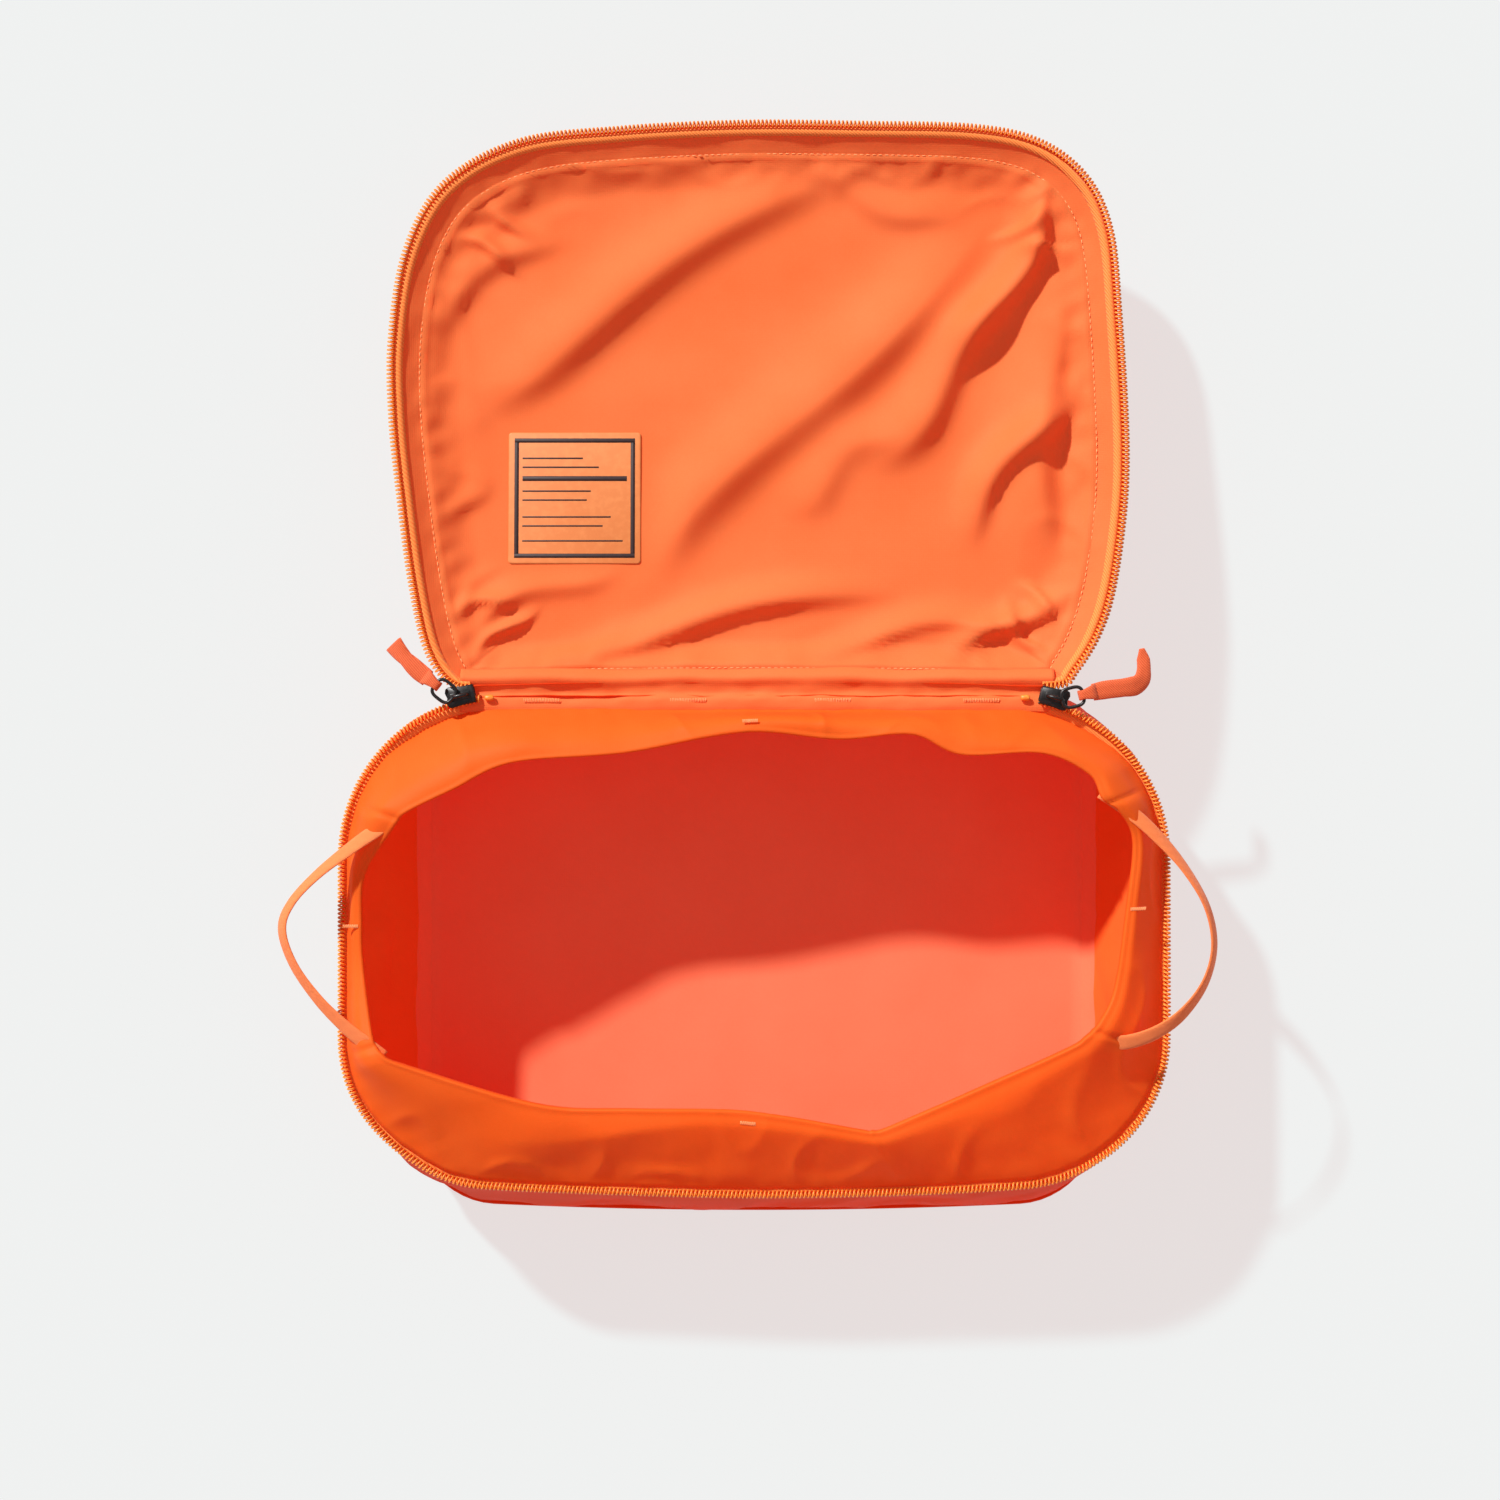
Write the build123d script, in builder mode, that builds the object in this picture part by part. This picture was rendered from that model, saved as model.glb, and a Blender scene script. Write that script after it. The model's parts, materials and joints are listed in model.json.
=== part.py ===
from build123d import *
import math
import os

# A soft packing cube, open like a clamshell: an upright tub with a collar round its mouth, and a shallow
# lid folded back behind it. Millimetres. The origin is the centre of the tub's underside, +Y points to
# the lid, +Z is up.

# Tub: the outline grows wider and rounder from the bottom to the rim, and the front leans in.
bottom_width, bottom_depth, bottom_corner = 344.0, 264.0, 28.0
rim_width, rim_depth, rim_corner = 406.0, 245.0, 75.0
rim_shift_x, rim_shift_y = -2.0, 8.5
panel_thickness = 2.0
rim_height = 76.0
fabric = 1.6
lining = 0.6
lining_gap = 1.1
section_heights = [panel_thickness, 22.0, 44.0, 64.0, rim_height]
# Small gaps that keep cloth layers from sharing space.
layer_gap, lining_edge_gap = 0.1, 0.4
# Corner seams reach this many times further out than the bottom's corners, and cuts this far.
seam_reach, far = 2.5, 400.0

# Zipper: a coil chain on a woven tape, one half on the tub's rim and one half round the lid.
tape_thickness = 0.8
tape_foot, tape_top = 64.0, 77.9
tape_end_x = 166.0
coil_radius = 1.4
coil_height = tape_top + coil_radius
slider_x = 145.0
slider_length, slider_width, plate_thickness = 15.0, 10.0, 1.1
plate_gap = 3.8
channel_shift, channel_wall = 0.9, 1.0
stop_x = 131.5
stop_size = (5.0, 3.2, 3.4)
stop_gap, stop_rounding = 0.5, 0.8
plate_corner = 3.0

# Pulls: a wire loop through the slider's crown and a folded webbing tab through the loop.
wire_radius = 0.8
eye_clearance = 0.35
loop_length, loop_width, loop_corner = 10.0, 11.0, 3.0
crown_width, crown_height = 2.6, 5.4
crown_sink = 0.4
wrap_thickness = 0.9
tab_length, tab_width, tab_thickness, tab_corner = 34.0, 9.0, 2.2, 1.2
neck_width, neck_length, neck_gap = 4.4, 5.0, 0.5
# Each pull points outward and this many degrees towards the lid.
pull_headings = {"left": 38.0, "right": 14.0}

# Hinge line behind the rim, just above the tub's coil.
hinge_y, hinge_z = 131.0, 81.0
hinge_length, hinge_width, hinge_thickness = 256.0, 11.0, 2.0
hinge_rise = 0.3
hinge_side_reach = 80.0

# Collar: a band that rises from the rim and leans in over the mouth.
collar_foot, collar_top, side_collar_top = 79.5, 99.0, 92.0
collar_foot_inset = 6.0
collar_top_width, collar_top_depth, collar_top_corner = 376.0, 188.0, 60.0
collar_top_y = 20.6
collar_thickness = 1.2
collar_seam_front, collar_seam_back = -46.0, 74.0

# Handles: a strap loop at each end, sewn at two collar corners and standing out level.
strap_thickness, strap_width = 1.2, 6.5
strap_foot = 92.8
handle_back, handle_front = (178.0, 70.0), (189.0, -40.0)
handle_tip = (231.0, 20.0)

# Lid: a shallow tray that droops a little from the hinge. Lengths run from the hinge line, depths go
# down from the zipper's plane.
droop = 4.0
lid_half_width, lid_length, lid_corner = 182.0, 286.0, 58.0
lid_shoulder = (154.0, 16.0)
lid_shoulder_corner = 22.0
shoulder_run = 20.0
lid_flank_length = 130.0
lid_far_taper = 4.0
lid_hinge_gap = 8.0
hinge_side_slope = 0.35
lid_depth = 24.0
lid_sections = [(-22.4, 14.0), (-13.0, 5.0), (-3.2, 0.0)]
lid_tape_width, lid_tape_inset = 10.0, 0.3
hinge_side_cut = 60.0
lid_coil_radius = 1.1
label_side, label_thickness, label_corner, label_rounding = 66.0, 1.0, 1.5, 0.3
label_centre = (-91.0, 100.0)

# Webbing sewn across the outside of the back wall, under the hinge.
webbing_length, webbing_width, webbing_thickness = 260.0, 20.0, 1.2
webbing_height = 64.0
webbing_gap, webbing_corner = 0.3, 1.5

os.makedirs("parts", exist_ok=True)


def save(piece, name):
    """Labels a finished piece and writes it as a STEP file."""
    piece.part.label = name
    export_step(piece.part, f"parts/{name}.step")


def tub_outline(height, inset):
    """Draws the tub's outline at a height, moved in by inset, into the current sketch."""
    rise = height / rim_height
    bulge = math.sin(math.pi / 2 * rise)
    lean = rise**2
    width = bottom_width + (rim_width - bottom_width) * bulge - 2 * inset
    depth = bottom_depth + (rim_depth - bottom_depth) * lean - 2 * inset
    corner = bottom_corner + (rim_corner - bottom_corner) * bulge - inset
    with Locations((rim_shift_x * bulge, rim_shift_y * lean)):
        RectangleRounded(width, depth, corner)


def tub_ring(outer, inner, heights):
    """A band of the tub's shape between two insets, ruled between the given heights."""
    with BuildPart() as ring:
        for inset, mode in ((outer, Mode.ADD), (inner, Mode.SUBTRACT)):
            for height in heights:
                with BuildSketch(Plane.XY.offset(height)):
                    tub_outline(height, inset)
            loft(ruled=True, mode=mode)
    return ring


def within(ring, corners, low=0.0, high=120.0):
    """The stretch of a ring that stands inside a plan outline, between two heights."""
    with BuildPart() as piece:
        add(ring.part)
        with BuildSketch(Plane.XY.offset(low)):
            Polygon(*corners, align=None)
        extrude(amount=high - low, mode=Mode.INTERSECT)
    return piece


def without_hinge_side(ring, half, plane=Plane.XY, low=100.0):
    """A ring with its back stretch removed, between the two ends of the zipper."""
    with BuildPart() as piece:
        add(ring.part)
        with BuildSketch(plane):
            with Locations((0, low)):
                Rectangle(2 * half, hinge_side_reach, align=(Align.CENTER, Align.MIN))
        extrude(amount=far, both=True, mode=Mode.SUBTRACT)
    return piece


# ---- Tub ----
with BuildPart() as bottom_panel:
    with BuildSketch(Plane.XY):
        RectangleRounded(bottom_width, bottom_depth, bottom_corner)
    extrude(amount=panel_thickness)
save(bottom_panel, "bottom_panel")

tub_walls = tub_ring(0, fabric, section_heights)

# Each corner seam runs from the rim's corner centre out through the corner of the bottom.
core_x = rim_width / 2 - rim_corner
core_front = rim_shift_y - rim_depth / 2 + rim_corner
core_back = rim_shift_y + rim_depth / 2 - rim_corner
seam_x = bottom_width / 2 - bottom_corner / 3
seam_y = bottom_depth / 2 - bottom_corner / 3


def seam_end(side, core_y, y):
    """The far end of a corner seam's line in plan, beyond the tub."""
    return (
        side * (core_x + seam_reach * (seam_x - core_x)),
        core_y + seam_reach * (y - core_y),
    )


far_front = [seam_end(side, core_front, -seam_y) for side in (-1, 1)]
far_back = [seam_end(side, core_back, seam_y) for side in (-1, 1)]
core = [(side * core_x, y) for side in (-1, 1) for y in (core_front, core_back)]
left_front, left_back, right_front, right_back = core
wall_outlines = {
    "front_wall": [left_front, far_front[0], far_front[1], right_front],
    "back_wall": [left_back, right_back, far_back[1], far_back[0]],
    "left_wall": [left_front, left_back, far_back[0], (-far, 0), far_front[0]],
    "right_wall": [right_front, far_front[1], (far, 0), far_back[1], right_back],
}
for name, corners in wall_outlines.items():
    save(within(tub_walls, corners), name)

lining_outer = fabric + lining_gap
wall_lining = tub_ring(lining_outer, lining_outer + lining, section_heights)
save(wall_lining, "wall_lining")

with BuildPart() as floor_lining:
    with BuildSketch(Plane.XY.offset(panel_thickness)):
        tub_outline(panel_thickness, lining_outer + lining + lining_edge_gap)
    extrude(amount=lining)
save(floor_lining, "floor_lining")

with BuildPart() as back_webbing:
    back_face = bottom_depth / 2 + webbing_gap
    with BuildSketch(Plane.XZ.offset(-back_face)):
        with Locations((0, webbing_height)):
            RectangleRounded(webbing_length, webbing_width, webbing_corner)
    extrude(amount=-webbing_thickness)
save(back_webbing, "back_webbing")

with BuildPart() as hinge_strip:
    with BuildSketch(Plane.XY.offset(rim_height + hinge_rise)):
        with Locations((0, hinge_y - 1)):
            RectangleRounded(hinge_length, hinge_width, hinge_thickness)
    extrude(amount=hinge_thickness)
save(hinge_strip, "hinge_strip")

# ---- Tub's half of the zipper ----
tape_outer = fabric + layer_gap
tape_ring = tub_ring(tape_outer, tape_outer + tape_thickness, [tape_foot, rim_height, tape_top])
save(without_hinge_side(tape_ring, tape_end_x), "base_zipper_tape")

with BuildSketch(Plane.XY.offset(coil_height)) as coil_outline:
    tub_outline(rim_height, coil_radius)
coil_path = coil_outline.sketch.wire()
with BuildPart() as coil_ring:
    with BuildSketch(Plane(origin=coil_path @ 0, z_dir=coil_path % 0)):
        Circle(coil_radius)
    sweep(path=coil_path)
save(without_hinge_side(coil_ring, stop_x + stop_size[0] / 2 + stop_gap), "base_zipper_coil")

# ---- Collar ----
with BuildPart() as collar_ring:
    for inset, mode in ((0, Mode.ADD), (collar_thickness, Mode.SUBTRACT)):
        with BuildSketch(Plane.XY.offset(collar_foot)):
            tub_outline(rim_height, collar_foot_inset + inset)
        with BuildSketch(Plane.XY.offset(collar_top)):
            with Locations((rim_shift_x, collar_top_y)):
                RectangleRounded(
                    collar_top_width - 2 * inset,
                    collar_top_depth - 2 * inset,
                    collar_top_corner - inset,
                )
        loft(ruled=True, mode=mode)

bands = {
    "collar_front": (-far, far, -far, collar_seam_front, collar_top),
    "collar_back": (-far, far, collar_seam_back, far, collar_top),
    "collar_left": (-far, 0, collar_seam_front, collar_seam_back, side_collar_top),
    "collar_right": (0, far, collar_seam_front, collar_seam_back, side_collar_top),
}
for name, (x_low, x_high, y_low, y_high, top) in bands.items():
    corners = [(x_low, y_low), (x_high, y_low), (x_high, y_high), (x_low, y_high)]
    save(within(collar_ring, corners, rim_height, top), name)

# ---- Handles ----
for side, name in ((-1, "left_handle_strap"), (1, "right_handle_strap")):
    with BuildPart() as strap:
        with BuildSketch(Plane.XY.offset(strap_foot)):
            with BuildLine():
                ThreePointArc(
                    *[(side * x, y) for x, y in (handle_back, handle_tip, handle_front)]
                )
            trace(line_width=strap_thickness)
        extrude(amount=strap_width)
    save(strap, name)

# ---- Sliders, pulls and end stops, one set at each end of the hinge ----
for side, word in ((-1, "left"), (1, "right")):
    # The chain runs round a corner here, so its place and direction come from the corner's arc.
    arc_centre_x = rim_shift_x + side * core_x
    arc_radius = rim_corner - coil_radius
    swing = math.asin((slider_x * side - arc_centre_x) * side / arc_radius)
    slider_y = core_back + arc_radius * math.cos(swing)
    away = (side * math.cos(swing), -math.sin(swing), 0)
    spot = Plane(
        origin=(side * slider_x, slider_y, coil_height), x_dir=away, z_dir=(0, 0, 1)
    )
    # The slider's body is set a quarter of its width towards the lid's half of the chain.
    offset_across = side * slider_width / 4
    heading = math.radians(pull_headings[word])
    outward = (side * math.cos(heading), math.sin(heading), 0)
    turn = math.degrees(math.atan2(outward[1], outward[0]) - math.atan2(away[1], away[0]))
    plate_top = plate_gap / 2 + plate_thickness
    crown_x = slider_length / 4

    with BuildPart(spot) as slider:
        with Locations((0, offset_across, 0)):
            Box(slider_length, slider_width, 2 * plate_top)
        fillet(slider.edges().filter_by(Axis.Z), plate_corner)
        with Locations((0, -side * channel_shift, 0)):
            Box(2 * slider_length, slider_width - channel_wall, plate_gap, mode=Mode.SUBTRACT)
        crown_z = plate_top + crown_height / 2 - crown_sink
        with Locations(Location((crown_x, offset_across, crown_z), (0, 0, turn))):
            Box(crown_height, crown_width, crown_height)
        eye_z = plate_top + (crown_height - crown_sink) / 2
        with Locations(Location((crown_x, offset_across, eye_z), (90, turn, 0))):
            Cylinder(wire_radius + eye_clearance, 2 * slider_width, mode=Mode.SUBTRACT)
    save(slider, f"{word}_slider")

    eye = spot.from_local_coords((crown_x, offset_across, eye_z))
    loop_plane = Plane(origin=eye, x_dir=outward, z_dir=(0, 0, 1))
    with BuildSketch(loop_plane) as loop_outline:
        with Locations((loop_length / 2, 0)):
            RectangleRounded(loop_length, loop_width, loop_corner)
    loop_path = loop_outline.sketch.wire()
    with BuildPart() as loop:
        with BuildSketch(Plane(origin=loop_path @ 0, z_dir=loop_path % 0)):
            Circle(wire_radius)
        sweep(path=loop_path)
    save(loop, f"{word}_pull_loop")

    far_wire = loop_plane.from_local_coords((loop_length, 0, 0))
    tab_plane = Plane(origin=far_wire, x_dir=outward, z_dir=(0, 0, 1))
    with BuildPart(tab_plane) as tab:
        with BuildSketch(tab_plane.offset(-tab_thickness / 2)):
            with Locations((neck_length / 2 + neck_gap, 0)):
                Rectangle(neck_length, neck_width)
            with Locations((neck_length + (tab_length - neck_length) / 2, 0)):
                RectangleRounded(tab_length - neck_length, tab_width, tab_corner)
        extrude(amount=tab_thickness)
        with Locations(Location((0, 0, 0), (90, 0, 0))):
            Cylinder(wire_radius + eye_clearance + wrap_thickness, neck_width)
            Cylinder(wire_radius + eye_clearance, 2 * neck_width, mode=Mode.SUBTRACT)
    save(tab, f"{word}_pull_tab")

    with BuildPart() as end_stop:
        length, width, height = stop_size
        with Locations((side * stop_x, core_back + arc_radius, coil_height)):
            Box(length, width, height)
        fillet(end_stop.edges().filter_by(Axis.Y), stop_rounding)
    save(end_stop, f"{word}_end_stop")

# ---- Lid ----
tilt = math.radians(droop)
lid_plane = Plane(
    origin=(0, hinge_y, hinge_z), x_dir=(1, 0, 0), z_dir=(0, math.sin(tilt), math.cos(tilt))
)


def lid_outline(inset):
    """Draws the lid's outline, moved in by inset, into the current sketch."""
    near = lid_hinge_gap + inset * hinge_side_slope
    shoulder_x, shoulder_v = lid_shoulder
    half = [
        (shoulder_x - inset - shoulder_run, near),
        (shoulder_x - inset, shoulder_v + inset / 2),
        (lid_half_width - inset, lid_flank_length),
        (lid_half_width - lid_far_taper - inset, lid_length - inset),
    ]
    other_half = [(-x, v) for x, v in reversed(half)]
    with BuildSketch(mode=Mode.PRIVATE) as outline:
        Polygon(*half, *other_half, align=None)
        rows = outline.vertices().group_by(Axis.Y)
        fillet(rows[-1], lid_corner - inset)
        fillet(outline.vertices().group_by(Axis.Y)[1], lid_shoulder_corner)
    add(outline.sketch)


def lid_ring(outer, inner):
    """The lid's side band between two insets, ruled through the lid's sections."""
    with BuildPart() as ring:
        for inset, mode in ((outer, Mode.ADD), (inner, Mode.SUBTRACT)):
            for depth, taper in lid_sections:
                with BuildSketch(lid_plane.offset(depth)):
                    lid_outline(taper + inset)
            loft(ruled=True, mode=mode)
    return ring


def lid_plate(inset, low, thickness):
    """A flat layer of the lid at a depth below the zipper's plane."""
    with BuildPart() as plate:
        with BuildSketch(lid_plane.offset(low)):
            lid_outline(inset)
        extrude(amount=thickness)
    return plate


bottom_level, bottom_inset = lid_sections[0]
save(lid_plate(bottom_inset, -lid_depth, lid_depth + bottom_level), "lid_panel")
save(lid_ring(0, fabric), "lid_gusset")
gusset_lining_inset = fabric + 2 * layer_gap
gusset_lining = lid_ring(gusset_lining_inset, gusset_lining_inset + lining)
save(gusset_lining, "lid_gusset_lining")
lining_inset = bottom_inset + gusset_lining_inset + lining + lining_edge_gap
lining_level = bottom_level + layer_gap
save(lid_plate(lining_inset, lining_level, lining), "lid_lining")

top_level = lid_sections[-1][0]
with BuildPart() as lid_tape_ring:
    with BuildSketch(lid_plane.offset(top_level)):
        lid_outline(lid_tape_inset)
    extrude(amount=tape_thickness)
    with BuildSketch(lid_plane.offset(top_level)):
        lid_outline(lid_tape_width)
    extrude(amount=tape_thickness, mode=Mode.SUBTRACT)
lid_end = lid_shoulder[0] - shoulder_run - stop_gap
lid_tape = without_hinge_side(lid_tape_ring, lid_end, lid_plane, -hinge_side_cut)
save(lid_tape, "lid_zipper_tape")

coil_level = top_level + tape_thickness
with BuildPart() as lid_coil_ring:
    with BuildSketch(lid_plane.offset(coil_level)):
        lid_outline(lid_tape_inset)
    extrude(amount=2 * lid_coil_radius)
    with BuildSketch(lid_plane.offset(coil_level)):
        lid_outline(lid_tape_inset + 2 * lid_coil_radius)
    extrude(amount=2 * lid_coil_radius, mode=Mode.SUBTRACT)
lid_coil = without_hinge_side(lid_coil_ring, lid_end, lid_plane, -hinge_side_cut)
save(lid_coil, "lid_zipper_coil")

with BuildPart() as label_patch:
    with BuildSketch(lid_plane.offset(lining_level + lining)):
        with Locations(label_centre):
            RectangleRounded(label_side, label_side, label_corner)
    extrude(amount=label_thickness)
    fillet(label_patch.edges().group_by(Axis.Z)[-1], label_rounding)
save(label_patch, "label_patch")
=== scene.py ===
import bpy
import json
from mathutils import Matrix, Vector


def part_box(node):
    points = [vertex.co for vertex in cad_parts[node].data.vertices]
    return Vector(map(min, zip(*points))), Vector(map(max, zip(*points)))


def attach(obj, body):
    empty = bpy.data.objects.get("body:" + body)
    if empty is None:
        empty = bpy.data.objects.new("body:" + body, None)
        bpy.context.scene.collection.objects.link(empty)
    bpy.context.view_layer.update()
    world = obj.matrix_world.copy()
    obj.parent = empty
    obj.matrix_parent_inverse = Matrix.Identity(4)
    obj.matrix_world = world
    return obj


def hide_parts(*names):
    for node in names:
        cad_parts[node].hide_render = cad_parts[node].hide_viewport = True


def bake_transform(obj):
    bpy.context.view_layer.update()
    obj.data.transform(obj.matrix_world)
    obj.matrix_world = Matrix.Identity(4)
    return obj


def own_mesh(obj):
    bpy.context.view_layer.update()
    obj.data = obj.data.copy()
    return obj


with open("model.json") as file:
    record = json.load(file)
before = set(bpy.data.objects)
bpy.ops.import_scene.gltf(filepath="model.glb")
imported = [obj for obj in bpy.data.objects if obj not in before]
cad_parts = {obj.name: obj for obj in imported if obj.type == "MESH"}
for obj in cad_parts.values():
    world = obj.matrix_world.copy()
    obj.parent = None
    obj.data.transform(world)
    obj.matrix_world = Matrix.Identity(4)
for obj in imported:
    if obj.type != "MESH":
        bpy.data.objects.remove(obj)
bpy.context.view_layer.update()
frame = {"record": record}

import json
import math

import bpy
import numpy as np
from mathutils import Vector

MM = 0.001
JOINTS = {joint["name"]: joint for joint in frame["record"]["behaviour"]["joints"]}
HINGE = np.array(JOINTS["lid_hinge"]["pos_m"]) / MM
DROOP = math.radians(4.0)
LID_ALONG = np.array([0.0, math.cos(DROOP), -math.sin(DROOP)])
LID_UP = np.array([0.0, math.sin(DROOP), math.cos(DROOP)])

# Everything below is worked out in millimetres and turned into metres when a mesh is made.


# ---------------------------------------------------------------- curves
def catmull_rom(points, per_span, closed):
    """A smooth curve through the points."""
    points = np.asarray(points, float)
    count = len(points)
    if closed:
        padded = np.vstack([points[-1], points, points[:2]])
        spans = count
    else:
        first, last = 2 * points[0] - points[1], 2 * points[-1] - points[-2]
        padded = np.vstack([first, points, last])
        spans = count - 1
    t = np.linspace(0, 1, per_span, endpoint=False)[:, None]
    pieces = []
    for i in range(spans):
        a, b, c, d = padded[i : i + 4]
        pieces.append(
            0.5
            * (2 * b + (c - a) * t + (2 * a - 5 * b + 4 * c - d) * t**2 + (3 * b - a - 3 * c + d) * t**3)
        )
    if not closed:
        pieces.append(points[-1:])
    return np.vstack(pieces)


def resample(points, spacing):
    """The same line with evenly spaced points."""
    points = np.asarray(points, float)
    steps = np.linalg.norm(np.diff(points, axis=0), axis=1)
    along = np.concatenate([[0], np.cumsum(steps)])
    count = max(2, int(round(along[-1] / spacing)))
    wanted = np.linspace(0, along[-1], count + 1)
    return np.column_stack([np.interp(wanted, along, points[:, k]) for k in range(3)])


def frames_along(path, up):
    """Unit tangent, side and upward directions at each point of a path."""
    tangent = np.gradient(path, axis=0)
    tangent /= np.linalg.norm(tangent, axis=1)[:, None]
    side = np.cross(tangent, np.broadcast_to(up, path.shape))
    side /= np.linalg.norm(side, axis=1)[:, None]
    return tangent, side, np.cross(side, tangent)


def polar_ring(points, angles, centre):
    """Reads a closed line about a centre at the given plan angles."""
    offset = points - np.array([centre[0], centre[1], 0.0])
    angle = np.arctan2(offset[:, 1], offset[:, 0])
    order = np.argsort(angle)
    angle, values = angle[order], points[order]
    angle = np.concatenate([angle - 2 * np.pi, angle, angle + 2 * np.pi])
    values = np.vstack([values] * 3)
    wanted = (angles + np.pi) % (2 * np.pi) - np.pi
    return np.column_stack([np.interp(wanted, angle, values[:, k]) for k in range(3)])


def ripple(points, wavelength, seed, waves=9):
    """Smooth made-up unevenness from -1 to 1, the same on every run."""
    rng = np.random.default_rng(seed)
    directions = rng.normal(size=(waves, 3))
    directions /= np.linalg.norm(directions, axis=1)[:, None]
    lengths = wavelength * rng.uniform(0.7, 1.7, waves)
    phases = rng.uniform(0, 2 * np.pi, waves)
    total = np.zeros(len(points))
    for direction, length, phase in zip(directions, lengths, phases):
        total += np.sin(points @ direction * 2 * np.pi / length + phase)
    return total / waves**0.5 / 1.4


def wrinkle(points, wavelength, seed):
    """Sharp-topped creases with soft ground between them, from 0 to 1."""
    return np.clip(1 - np.abs(ripple(points, wavelength, seed)) * 1.6, 0, 1) ** 2


def smooth_loop(points, reach):
    """Evens out a closed line over a few neighbours either way."""
    total = points.copy()
    for step in range(1, reach + 1):
        total += np.roll(points, step, axis=0) + np.roll(points, -step, axis=0)
    return total / (2 * reach + 1)


def smoothstep(value, low, high):
    t = np.clip((value - low) / (high - low), 0, 1)
    return t * t * (3 - 2 * t)


# ---------------------------------------------------------------- meshes
def make_mesh(name, points, faces, material, smooth=True):
    mesh = bpy.data.meshes.new(name)
    mesh.from_pydata((np.asarray(points, float) * MM).tolist(), [], faces)
    mesh.validate()
    mesh.update()
    piece = bpy.data.objects.new(name, mesh)
    bpy.context.scene.collection.objects.link(piece)
    mesh.materials.append(material)
    mesh.polygons.foreach_set("use_smooth", [smooth] * len(mesh.polygons))
    return piece


def grid_faces(rows, columns, wrap_rows=False, wrap_columns=False):
    faces = []
    for i in range(rows if wrap_rows else rows - 1):
        for j in range(columns if wrap_columns else columns - 1):
            k, m = (i + 1) % rows, (j + 1) % columns
            faces.append((i * columns + j, i * columns + m, k * columns + m, k * columns + j))
    return faces


def end_caps(rows, sides):
    """Faces that close both ends of a bar made of rings."""
    last = (rows - 1) * sides
    return [tuple(range(sides))[::-1], tuple(range(last, last + sides))]


def surface(name, rings, material, closed=True, thickness=0.0, smooth=True, capped=False):
    """A skin through rows of points; closed rows join end to start, and a cap fills the last row."""
    rows, columns = len(rings), len(rings[0])
    faces = grid_faces(rows, columns, wrap_columns=closed)
    points = np.vstack(rings)
    if capped:
        last = (rows - 1) * columns
        points = np.vstack([points, rings[-1].mean(axis=0)])
        faces += [(last + j, last + (j + 1) % columns, rows * columns) for j in range(columns)]
    piece = make_mesh(name, points, faces, material, smooth)
    if thickness:
        solidify = piece.modifiers.new("thickness", "SOLIDIFY")
        solidify.thickness = thickness * MM
        solidify.offset = 0
        apply_modifiers(piece)
    return piece


def apply_modifiers(piece):
    depsgraph = bpy.context.evaluated_depsgraph_get()
    mesh = bpy.data.meshes.new_from_object(piece.evaluated_get(depsgraph))
    piece.modifiers.clear()
    piece.data = mesh


def tube_points(path, radius, sides, up=(0, 0, 1), closed=False):
    """Points and faces of a round bar along a path."""
    path = np.asarray(path, float)
    if closed:
        wrapped = np.vstack([path[-1:], path, path[:1]])
        _, side, top = (part[1:-1] for part in frames_along(wrapped, up))
    else:
        _, side, top = frames_along(path, up)
    turn = np.linspace(0, 2 * np.pi, sides, endpoint=False)
    radius = np.broadcast_to(radius, (len(path),))[:, None, None]
    circle = side[:, None] * np.cos(turn)[None, :, None] + top[:, None] * np.sin(turn)[None, :, None]
    points = (path[:, None] + circle * radius).reshape(-1, 3)
    faces = grid_faces(len(path), sides, wrap_rows=closed, wrap_columns=True)
    if not closed:
        faces += end_caps(len(path), sides)
    return points, faces


def tube(name, path, radius, material, sides=10, up=(0, 0, 1), closed=False):
    return make_mesh(name, *tube_points(path, radius, sides, up, closed), material)


def coil(name, path, up, material, pitch=2.0, across=1.6, high=1.15, wire=0.5):
    """One half of a zipper chain: a flattened helix of nylon wire."""
    path = resample(path, pitch / 8)
    _, side, top = frames_along(path, up)
    turn = np.arange(len(path)) * 2 * np.pi / 8
    helix = path + side * (across * np.cos(turn))[:, None] + top * (high * np.sin(turn))[:, None]
    return tube(name, helix, wire, material, sides=5, up=up)


def stitches(name, centres, directions, material, length=2.0, radius=0.22):
    """Short sewn stitches: six-sided grains of thread, one at each centre."""
    points, faces = [], []
    shape = [(-0.5, 0.15), (-0.3, 1.0), (0.3, 1.0), (0.5, 0.15)]
    for centre, direction in zip(centres, directions):
        direction = direction / np.linalg.norm(direction)
        line = np.array([centre + direction * length * t for t, _ in shape])
        sizes = np.array([radius * s for _, s in shape])
        up = (0, 0, 1) if abs(direction[2]) < 0.9 else (1, 0, 0)
        ring, ring_faces = tube_points(line, sizes, 6, up)
        start = len(points) * 24
        faces += [tuple(start + k for k in face) for face in ring_faces]
        points.append(ring)
    return make_mesh(name, np.vstack(points), faces, material)


def stitch_line(path, spacing=3.0, lift=(0, 0, 0.25)):
    """Places and directions of the stitches along a seam."""
    path = resample(path, spacing)
    return path + np.array(lift), np.gradient(path, axis=0)


def bartack(centre, along, across, length=16.0, width=2.0, count=22):
    """A tight zigzag of thread that holds two layers together."""
    t = np.linspace(-0.5, 0.5, count)
    lean = 0.25 * length / count
    centres = np.array([centre + along * length * k for k in t])
    flips = np.where(np.arange(count) % 2, 1.0, -1.0)
    directions = across[None] * width + along[None] * (flips * lean)[:, None]
    return centres, directions


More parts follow.
